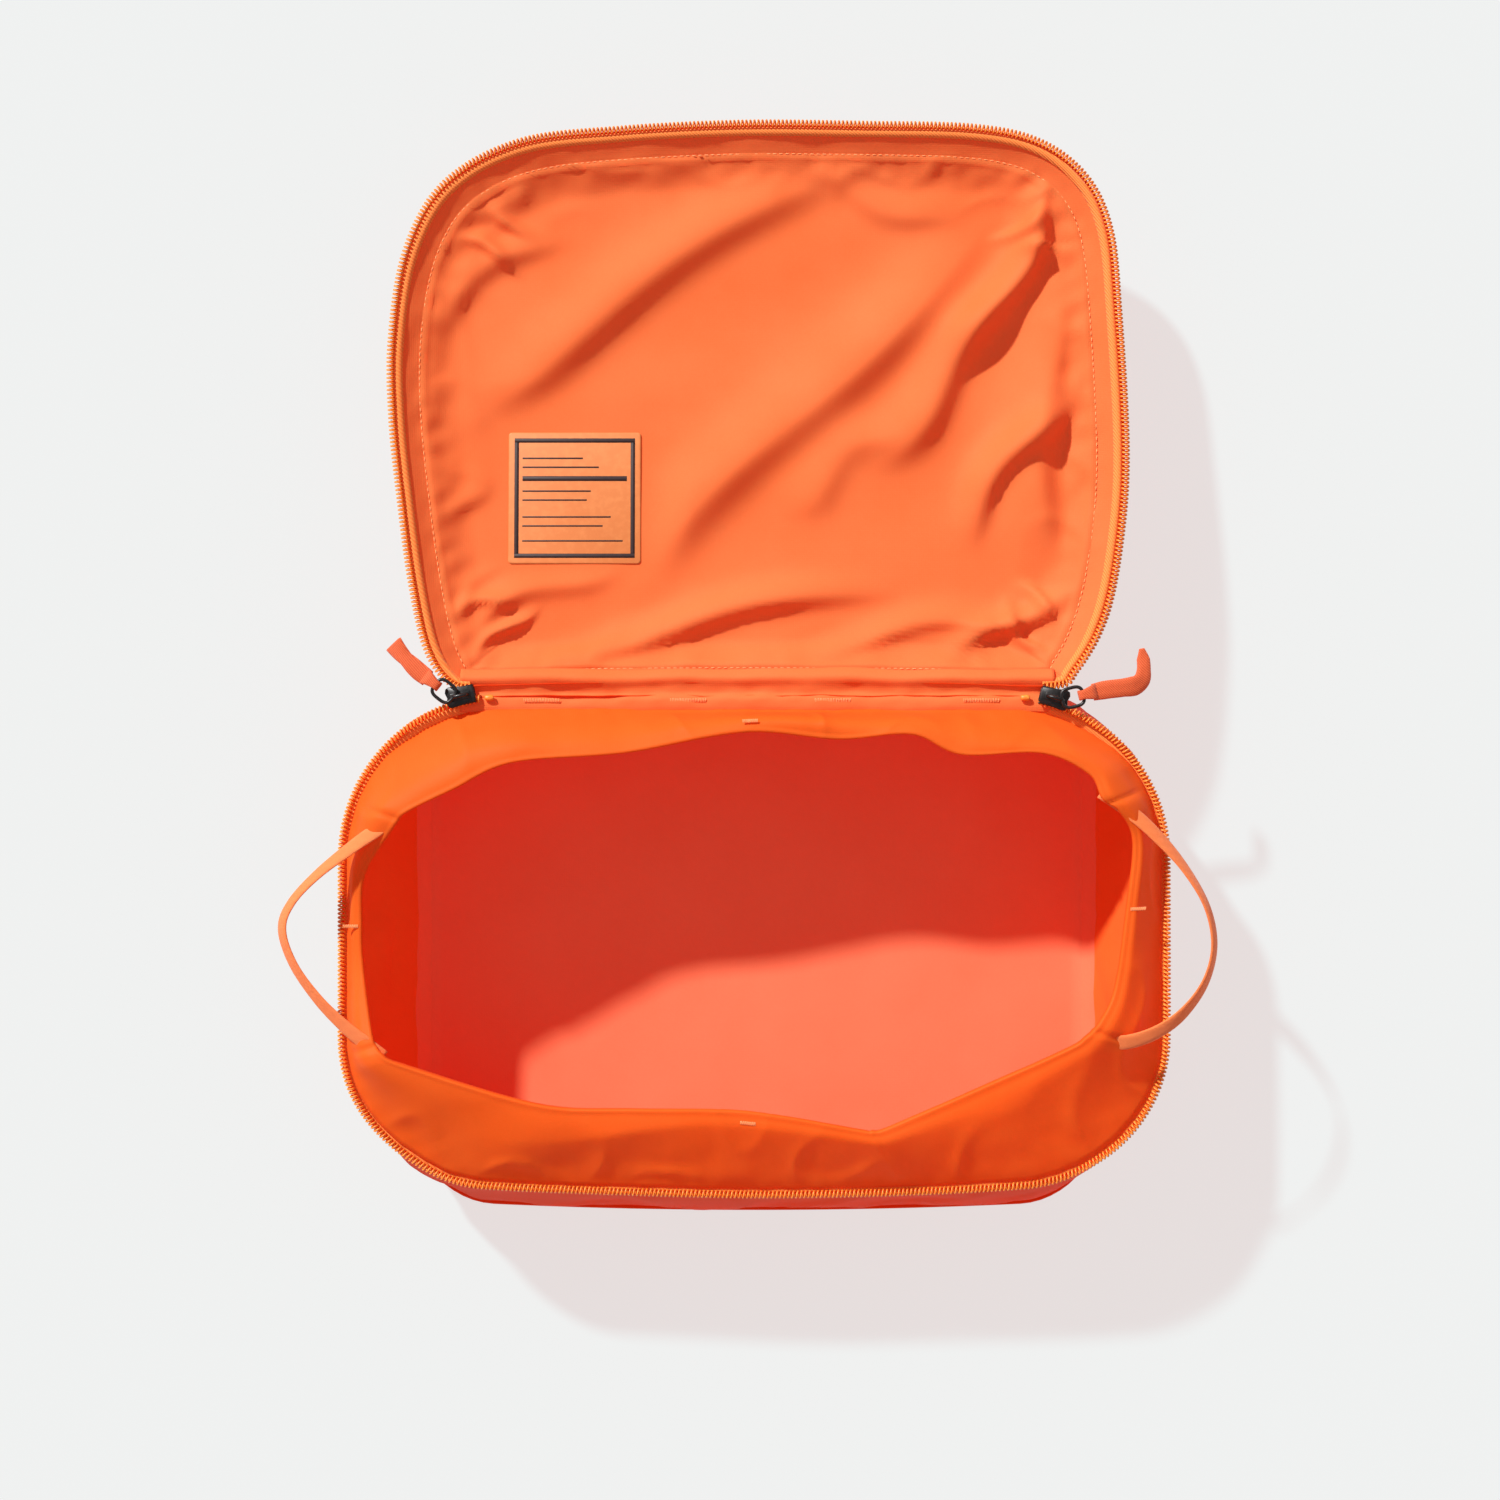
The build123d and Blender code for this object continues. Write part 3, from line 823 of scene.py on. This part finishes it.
def build_lid_shell():
    profile = [(1.6, -2.9), (2.4, -6.5), (4.5, -12.0), (8.5, -18.0), (13.0, -21.6), (15.5, -22.6)]
    profile.append((PANEL_INSET, -23.2))
    rings = []
    for i, (amount, level) in enumerate(profile):
        ring = lid_ring(amount, level)
        wobble = 0.7 * ripple(ring, 48.0, 71) * math.sin(math.pi * i / len(profile))
        rings.append(ring + np.outer(wobble, LID_UP))
    for t in np.linspace(0, 1, 40)[1:]:
        x, v = lid_disc(PANEL_INSET, t * 0.99)
        flat = np.column_stack([x, v, 0 * x])
        level = -23.3 + (0.8 * ripple(flat, 95.0, 73) + 0.2 * ripple(flat, 18.0, 79)) * smoothstep(t, 0, 0.2)
        rings.append(lid_point(x, v, level))
    shell = surface("lid_shell", rings, SHELL, thickness=0.5, capped=True)
    on_lid(shell, "lid_panel", "lid_gusset", slot="shell")
    seam = tube("lid_piping", lid_ring(15.0, -22.5)[::2], 1.0, SHELL, 8, up=tuple(LID_UP), closed=True)
    on_lid(seam, slot="shell")


def build_lid_zipper():
    zipped = (LID_CURVE[:, 1] > 9) | (np.abs(LID_CURVE[:, 0]) > 140)
    rows = []
    for amount, level in ((2.8, -2.7), (4.4, -2.2), (7.0, -3.2)):
        rows.append(lid_ring(amount, level)[zipped])
    tape = surface("lid_tape", rows, TAPE, closed=False, thickness=0.6)
    on_lid(tape, "lid_zipper_tape", slot="tape")
    line = lid_ring(1.1, -1.3)[zipped]
    chain = coil("lid_coil", line, tuple(LID_UP), COIL)
    on_lid(chain, "lid_zipper_coil", slot="coil")


def slab(corners, low, high, bevel):
    """A flat plate from a plan outline on the lid, with its top edge rounded over."""
    corners = np.asarray(corners, float)
    middle = corners.mean(axis=0)
    rows = []
    for level, shrink in ((low, 0.0), (high - bevel, 0.0), (high - bevel * 0.3, bevel * 0.3), (high, bevel)):
        scale = 1 - shrink / np.abs(corners - middle).max()
        ring = middle + (corners - middle) * scale
        rows.append(lid_point(ring[:, 0], ring[:, 1], level))
    count = len(corners)
    points = np.vstack(rows)
    faces = grid_faces(len(rows), count, wrap_columns=True)
    return points, faces + end_caps(len(rows), count)


def rounded_box(x0, x1, v0, v1, corner):
    turn = np.radians(np.linspace(0, 90, 5))
    points = []
    left, right = x0 + corner, x1 - corner
    near, far = v0 + corner, v1 - corner
    centres = ((right, far), (left, far), (left, near), (right, near))
    for quarter, (cx, cv) in enumerate(centres):
        angle = turn + quarter * math.pi / 2
        points += [(cx + corner * math.cos(a), cv + corner * math.sin(a)) for a in angle]
    return points


def joined(name, parts, material):
    """One mesh out of several closed pieces."""
    points, faces, start = [], [], 0
    for piece_points, piece_faces in parts:
        faces += [tuple(start + k for k in face) for face in piece_faces]
        points.append(piece_points)
        start += len(piece_points)
    return make_mesh(name, np.vstack(points), faces, material)


def build_label():
    """A soft square patch with a printed border and plain rules in place of any wording."""
    x, v = LABEL_CENTRE
    half = LABEL_HALF
    base = LINING_LEVEL + 0.2
    patch = slab(rounded_box(x - half, x + half, v - half, v + half, 1.6), base - 1.0, base + 1.1, 0.5)
    plate = joined("label_plate", [patch], LABEL)
    on_lid(plate, "label_patch", slot="label")
    top = base + 1.02
    frame_half, bar = half - 3.0, 2.1
    bars = [
        (x - frame_half, x + frame_half, v + frame_half - bar, v + frame_half),
        (x - frame_half, x + frame_half, v - frame_half, v - frame_half + bar),
        (x - frame_half, x - frame_half + bar, v - frame_half + bar, v + frame_half - bar),
        (x + frame_half - bar, x + frame_half, v - frame_half + bar, v + frame_half - bar),
        (x - 26, x + 26, v + 8.6, v + 11.0),
    ]
    for row, length in ((20, 30), (15.5, 38), (3.5, 34), (-1.0, 32), (-9.5, 44), (-14.0, 40), (-21.5, 50)):
        bars.append((x - 26, x - 26 + length, v + row - 0.35, v + row + 0.35))
    parts = [slab([(b, d), (a, d), (a, c), (b, c)], top - 0.3, top + 0.2, 0.05) for a, b, c, d in bars]
    rules = joined("label_rules", parts, PRINT)
    on_lid(rules, slot="label")


# ---------------------------------------------------------------- hinge
def build_hinge():
    """The strip of cloth that joins the tub's back edge to the lid, with its bar tacks."""
    across = np.linspace(-146, 146, 180)
    profile = [
        (122.5, 76.8), (125.5, 77.6), (129.0, 77.3), (132.0, 75.6), (135.0, 76.2), (138.5, 78.3),
        (141.0, 77.6), (144.0, 74.0),
    ]  # fmt: skip
    section = catmull_rom([(0, y, z) for y, z in profile], 5, False)
    rows = []
    for _, y, z in section:
        row = np.column_stack([across, np.full_like(across, y), np.full_like(across, z)])
        free = math.exp(-(((y - 132.0) / 5.0) ** 2))
        row[:, 2] += (0.7 * ripple(row, 42.0, 83) + 0.35 * ripple(row, 11.0, 89)) * (0.35 + free)
        row[:, 1] += 0.6 * ripple(row, 35.0, 97)
        rows.append(row)
    strip = surface("hinge_strip_cloth", rows, LINING, closed=False, thickness=0.5)
    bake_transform(strip)
    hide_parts("hinge_strip")

    along, crossways = np.array([1.0, 0, 0]), np.array([0, 1.0, 0.15])
    centres, directions = [], []
    for x in (-106.0, -34.0, 37.0, 110.0):
        spots, ways = bartack(np.array([x, 128.4, 78.2]), along, crossways, length=17, width=2.2)
        centres.append(spots)
        directions.append(ways)
    tacks = stitches("hinge_bartacks", np.vstack(centres), np.vstack(directions), THREAD, 2.2, 0.24)
    on_base(tacks, slot="shell")


# ---------------------------------------------------------------- handles
def ribbon(name, path, wide, width, thickness, material):
    """A flat strap along a path; wide gives the direction of its width at every point."""
    path = np.asarray(path, float)
    tangent = np.gradient(path, axis=0)
    tangent /= np.linalg.norm(tangent, axis=1)[:, None]
    wide = wide - (wide * tangent).sum(axis=1)[:, None] * tangent
    wide /= np.linalg.norm(wide, axis=1)[:, None]
    thin = np.cross(tangent, wide)
    width = np.broadcast_to(width, (len(path),))[:, None]
    thickness = np.broadcast_to(thickness, (len(path),))[:, None]
    corner = 0.82
    section = [(1, 0.35), (corner, 1), (0.3, 1.06), (-0.3, 1.06), (-corner, 1), (-1, 0.35)]
    section += [(-1, -0.35), (-corner, -1), (-0.3, -1.06), (0.3, -1.06), (corner, -1), (1, -0.35)]
    rings = [path + wide * width / 2 * a + thin * thickness / 2 * b for a, b in section]
    points = np.stack(rings, axis=1).reshape(-1, 3)
    sides = len(section)
    faces = grid_faces(len(path), sides, wrap_columns=True)
    return make_mesh(name, points, faces + end_caps(len(path), sides), material)


def slerp_directions(keys, count):
    """Directions that turn evenly through the listed ones."""
    keys = catmull_rom(np.array(keys, float), 12, False)
    at = np.linspace(0, len(keys) - 1, count)
    low = np.floor(at).astype(int).clip(0, len(keys) - 2)
    part = (at - low)[:, None]
    ways = keys[low] * (1 - part) + keys[low + 1] * part
    return ways / np.linalg.norm(ways, axis=1)[:, None]


def build_handles():
    loops = {
        "left": (
            [(-171.5, 79, 96.4), (-181, 68, 97.6), (-195, 58, 97), (-213, 44, 96.2), (-226, 30, 96),
             (-230.5, 17, 96), (-225, 0, 96), (-213, -17, 96.2), (-200, -30, 96.8), (-190, -38, 97.2),
             (-181.5, -45, 96)],
            [(0.64, -0.7, 0.3), (0.6, -0.68, 0.4), (0.55, -0.6, 0.6), (0.55, -0.35, 0.75), (0.6, -0.1, 0.8),
             (0.6, 0, 0.8), (0.6, 0.15, 0.8), (0.55, 0.4, 0.75), (0.5, 0.55, 0.6), (0.55, 0.7, 0.45),
             (0.57, 0.76, 0.3)],
        ),
        "right": (
            [(166.5, 84, 97.5), (178, 76, 97.8), (192, 64, 97.2), (207, 47, 96.3), (218, 28, 96),
             (221.5, 9, 96), (217, -9, 96), (206, -24, 96.2), (193, -33, 96.8), (179, -37.5, 97.2),
             (167.5, -37, 96.6)],
            [(-0.6, -0.74, 0.3), (-0.6, -0.7, 0.4), (-0.55, -0.6, 0.6), (-0.5, -0.35, 0.8),
             (-0.45, -0.1, 0.88), (-0.45, 0, 0.9), (-0.45, 0.15, 0.88), (-0.45, 0.45, 0.75),
             (-0.4, 0.7, 0.55), (-0.2, 0.9, 0.4), (-0.1, 0.95, 0.3)],
        ),
    }  # fmt: skip
    for word, (points, ways) in loops.items():
        path = resample(catmull_rom(points, 12, False), 1.6)
        strap = ribbon(f"{word}_handle", path, slerp_directions(ways, len(path)), 7.6, 1.3, WEBBING)
        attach(strap, f"{word}_handle")
        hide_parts(f"{word}_handle_strap")


# ---------------------------------------------------------------- sliders and pulls
def block(place, size, bevel=0.45):
    """Points and faces of a box with rounded edges; place turns local positions into world ones."""
    half = np.array(size) / 2
    cuts = [np.array([-h, -h + bevel, h - bevel, h]) for h in half]
    points, index, faces = [], {}, []

    def corner(i, j, k):
        if (i, j, k) not in index:
            spot = np.array([cuts[0][i], cuts[1][j], cuts[2][k]])
            core = np.clip(spot, -half + bevel, half - bevel)
            away = spot - core
            reach = np.linalg.norm(away)
            if reach > bevel:
                spot = core + away / reach * bevel
            index[i, j, k] = len(points)
            points.append(spot)
        return index[i, j, k]

    for axis in range(3):
        for end in (0, 3):
            for a in range(3):
                for b in range(3):
                    quad = []
                    for da, db in ((0, 0), (1, 0), (1, 1), (0, 1)):
                        key = [a + da, b + db]
                        key.insert(axis, end)
                        quad.append(corner(*key))
                    if (end == 3) == (axis == 1):
                        quad.reverse()
                    faces.append(tuple(quad))
    return place(np.array(points)), faces


def frame_at(origin, forward, up=UP):
    """Turns positions (forward, sideways, up) about an origin into world positions."""
    forward = np.array(forward) / np.linalg.norm(forward)
    side = np.cross(up, forward)
    side /= np.linalg.norm(side)
    top = np.cross(forward, side)
    basis = np.array([forward, side, top])
    return lambda spots: np.asarray(spots, float) @ basis + np.asarray(origin, float)


def plate(place, length, wide_end, narrow_end, low, high, bevel=0.35):
    """A slider plate: wide where the chains enter, narrow where they leave joined."""
    half = length / 2
    plan = [
        (-half, -narrow_end / 2 + 1), (-half + 1, -narrow_end / 2), (0, -narrow_end / 2 - 0.3),
        (half - 2.2, -wide_end / 2), (half - 0.6, -wide_end / 2 + 0.7), (half, -wide_end / 4),
        (half - 0.7, 0), (half, wide_end / 4), (half - 0.6, wide_end / 2 - 0.7), (half - 2.2, wide_end / 2),
        (0, narrow_end / 2 + 0.3), (-half + 1, narrow_end / 2), (-half, narrow_end / 2 - 1),
    ]  # fmt: skip
    rows = []
    for level, inset in ((low, bevel), (low + bevel, 0), (high - bevel, 0), (high, bevel)):
        shrink = 1 - inset / (wide_end / 2)
        rows.append([(a * (1 - inset / half), b * shrink, level) for a, b in plan])
    count = len(plan)
    faces = grid_faces(len(rows), count, wrap_columns=True)
    return place(np.vstack(rows)), faces + end_caps(len(rows), count)


def build_slider(word):
    low, high = (np.array(corner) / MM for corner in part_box(f"{word}_slider"))
    centre = np.array([(low[0] + high[0]) / 2, (low[1] + high[1]) / 2, COIL_Z])
    travel = np.array(JOINTS[f"{word}_slider_travel"]["axis"])
    place = frame_at(centre, travel)
    parts = [
        plate(place, 14.4, 10.4, 8.6, -2.95, -1.9),
        plate(place, 14.4, 10.4, 8.6, 1.9, 3.0),
        block(lambda p: place(p + np.array([4.6, 0, 0])), (2.0, 1.9, 4.2), 0.3),
    ]
    for side in (-1, 1):
        for level in (1.75, -1.75):
            flange = np.array([-2.6, side * 4.15, level])
            parts.append(block(lambda p, spot=flange: place(p + spot), (8.6, 0.8, 1.5), 0.25))
    arch = np.linspace(0, math.pi, 15)
    bow = np.column_stack([3.9 * np.cos(arch) + 0.2, 0 * arch, 2.9 + 3.6 * np.sin(arch) ** 0.7])
    parts.append(tube_points(place(bow), 0.95, 10, up=tuple(np.cross(UP, travel))))
    parts.append(block(lambda p: place(p + np.array([0, 0, 3.1])), (10.0, 3.6, 0.8), 0.3))
    slider = joined(f"{word}_zip_slider", parts, BLACK)
    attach(slider, f"{word}_slider")
    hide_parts(f"{word}_slider")


def turned_strap(name, place, line, ways, width, thick, word):
    """A length of pull webbing that turns with the tab; ways are the directions across it."""
    across = place(ways) - place(np.zeros((1, 3)))
    strap = ribbon(name, place(line), across, width, thick, PULL)
    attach(strap, f"{word}_pull_tab")
    return strap


def build_pull(word, tail):
    """A wire ring through the slider's bow and the doubled webbing tab tied to it."""
    start = np.array(JOINTS[f"{word}_loop_turn"]["pos_m"]) / MM
    end = np.array(JOINTS[f"{word}_tab_turn"]["pos_m"]) / MM
    heading = end - start
    place = frame_at(start, heading)
    turn = np.linspace(0, 2 * np.pi, 48, endpoint=False)
    power = 0.62
    ring = np.column_stack(
        [
            5.0 + 5.4 * np.sign(np.cos(turn)) * np.abs(np.cos(turn)) ** power,
            4.7 * np.sign(np.sin(turn)) * np.abs(np.sin(turn)) ** power,
            0 * turn,
        ]
    )
    wire = tube(f"{word}_pull_ring", place(ring), 0.85, BLACK, 10, closed=True)
    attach(wire, f"{word}_pull_loop")
    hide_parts(f"{word}_pull_loop")

    place = frame_at(end, heading)
    turn = np.linspace(math.pi * 0.5, math.pi * 1.5, 12)
    wrap = np.column_stack([1.75 * np.cos(turn), 0 * turn, 1.75 * np.sin(turn)])
    upper = [(1.5, 0, 1.7), (4.0, 0, 1.2), (7.0, 0, 0.8)]
    lower = [(1.5, 0, -1.7), (4.0, 0, -1.2), (7.0, 0, -0.8)]
    loop = np.vstack([upper[::-1], wrap, lower])
    sideways = np.tile([0.0, 1.0, 0.0], (len(loop), 1))
    loop_width = np.interp(np.abs(loop[:, 0]), [0, 2, 7], [4.4, 5.2, 8.0])
    turned_strap(f"{word}_pull_wrap", place, loop, sideways, loop_width, 1.0, word)

    points, ways, width, thick = tail
    line = resample(catmull_rom(points, 10, False), 0.9)
    along = np.linspace(0, 1, len(line))
    width = np.interp(along, np.linspace(0, 1, len(width)), width)
    ways = slerp_directions(ways, len(line))
    strap = turned_strap(f"{word}_pull_tail", place, line, ways, width, thick, word)
    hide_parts(f"{word}_pull_tab")


build_tub()
build_tub_lining()
build_base_zipper()
build_collar()
build_back_webbing()
build_end_stops()
build_lid_shell()
build_lid_lining()
build_lid_zipper()
build_label()
build_hinge()
build_handles()
LEFT_TAIL = (
    [(5, 0, 0), (11, 0.0, -0.4), (17, -0.6, -0.9), (22, -1.2, -1.6), (26, -2.0, -2.3), (29, -2.8, -3.0)],
    [(0, 1, 0.05), (0, 1, 0.1), (-0.2, 1, 0.15), (-0.3, 1, 0.1), (-0.4, 1, -0.1), (-0.3, 1, -0.2)],
    [8.4, 9.0, 8.6, 7.2, 8.6, 10.0],
    1.9,
)
RIGHT_TAIL = (
    [
        (5, 0, 0), (12, -0.4, 0.1), (20, -1.4, 0.2), (26, -1.8, 0.3), (30, 0.4, 0.6), (32, 5, 0.4),
        (33, 10, 0), (33.5, 15, 0),
    ],
    [
        (0, 1, 0.05), (0, 1, 0.05), (0.1, 1, 0.1), (0.1, 1, 0.2), (-0.7, 0.8, 0.3), (-1, 0.4, 0.2),
        (-1, 0.1, 0), (-1, 0, 0),
    ],
    [8.2, 9.0, 9.0, 9.0, 10.0, 8.6, 6.8, 6.4, 2.5],
    1.9,
)
for word, tail in (("left", LEFT_TAIL), ("right", RIGHT_TAIL)):
    build_slider(word)
    build_pull(word, tail)


# ---------------------------------------------------------------- floor, light and camera
def build_stage():
    mesh = bpy.data.meshes.new("floor")
    reach = 6.0
    corners = [(-reach, -reach, 0), (reach, -reach, 0), (reach, reach, 0), (-reach, reach, 0)]
    mesh.from_pydata(corners, [], [(0, 1, 2, 3)])
    floor = bpy.data.objects.new("floor", mesh)
    bpy.context.scene.collection.objects.link(floor)
    material, _, bsdf = new_material("pale_floor")
    set_inputs(bsdf, {"Base Color": (0.085, 0.157, 0.163, 1), "Roughness": 0.95, "Specular IOR Level": 0.0})
    set_inputs(bsdf, {"Emission Color": (0.763, 0.686, 0.675, 1), "Emission Strength": 1.0})
    mesh.materials.append(material)

    world = bpy.data.worlds.new("pale_room")
    world.use_nodes = True
    set_inputs(world.node_tree.nodes["Background"], {"Color": (0.95, 0.97, 1.0, 1), "Strength": 0.34})
    bpy.context.scene.world = world

    sun = bpy.data.lights.new("sun", "SUN")
    sun.energy = 5.0
    sun.angle = math.radians(3.0)
    sun.color = (1.0, 0.985, 0.96)
    lamp = bpy.data.objects.new("sun", sun)
    lamp.rotation_euler = Vector((0.85, -1.095, -1.0)).to_track_quat("-Z", "Y").to_euler()
    bpy.context.scene.collection.objects.link(lamp)

    camera = bpy.data.cameras.new("camera")
    camera.lens = 69.5
    camera.sensor_width = 36.0
    eye = bpy.data.objects.new("camera", camera)
    eye.location = (-0.0036, 0.104, 1.5)
    bpy.context.scene.collection.objects.link(eye)
    bpy.context.scene.camera = eye
    bpy.context.scene.view_settings.view_transform = "Standard"


build_stage()
